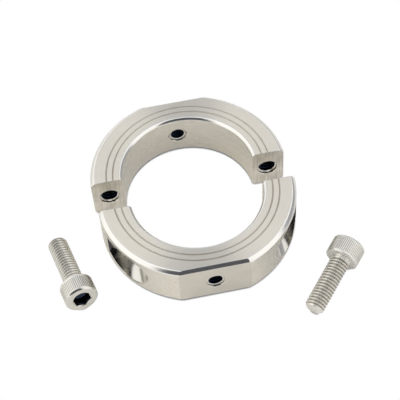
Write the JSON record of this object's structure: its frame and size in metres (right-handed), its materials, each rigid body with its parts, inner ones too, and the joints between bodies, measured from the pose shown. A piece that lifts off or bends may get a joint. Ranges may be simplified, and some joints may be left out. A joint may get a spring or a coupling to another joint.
{
  "type": "two-piece shaft collar",
  "caption": "Split clamping shaft collar, opened: half rings with milled flats and tapped holes, and loose socket head cap screws beside them.",
  "frame": {"origin": "on the bore axis of the front half, half way up the collar's width", "axes": "+Z along the shaft, up from the face the collar lies on; +X along the split line, to the right as the camera sees it; +Y from the front half to the rear half"},
  "size_m": [0.092, 0.0784, 0.015],
  "materials": {
    "collar_metal": "turned and milled, bright, with fine tool marks",
    "screw_metal": "satin stainless steel with a knurled head"
  },
  "bodies": {
    "front": {"front_half": "collar_metal"},
    "rear": {"rear_half": "collar_metal"},
    "left_screw": {"clamp_screw_left": "screw_metal"},
    "right_screw": {"clamp_screw_right": "screw_metal"}
  },
  "joints": [
    {"name": "rear_half_slide", "type": "slide", "parent": "front", "child": "rear", "axis": [0.108, -0.9942, 0], "range_m": [0, 0.00815]},
    {"name": "left_screw_turn", "type": "hinge", "parent": "front", "child": "left_screw", "pos_m": [-0.04038, -0.0187, -0.00255], "axis": [-0.204, 0.9724, -0.1135], "continuous": true},
    {"name": "right_screw_turn", "type": "hinge", "parent": "front", "child": "right_screw", "pos_m": [0.03789, -0.0273, -0.00255], "axis": [-0.6538, -0.7481, -0.1135], "continuous": true}
  ]
}
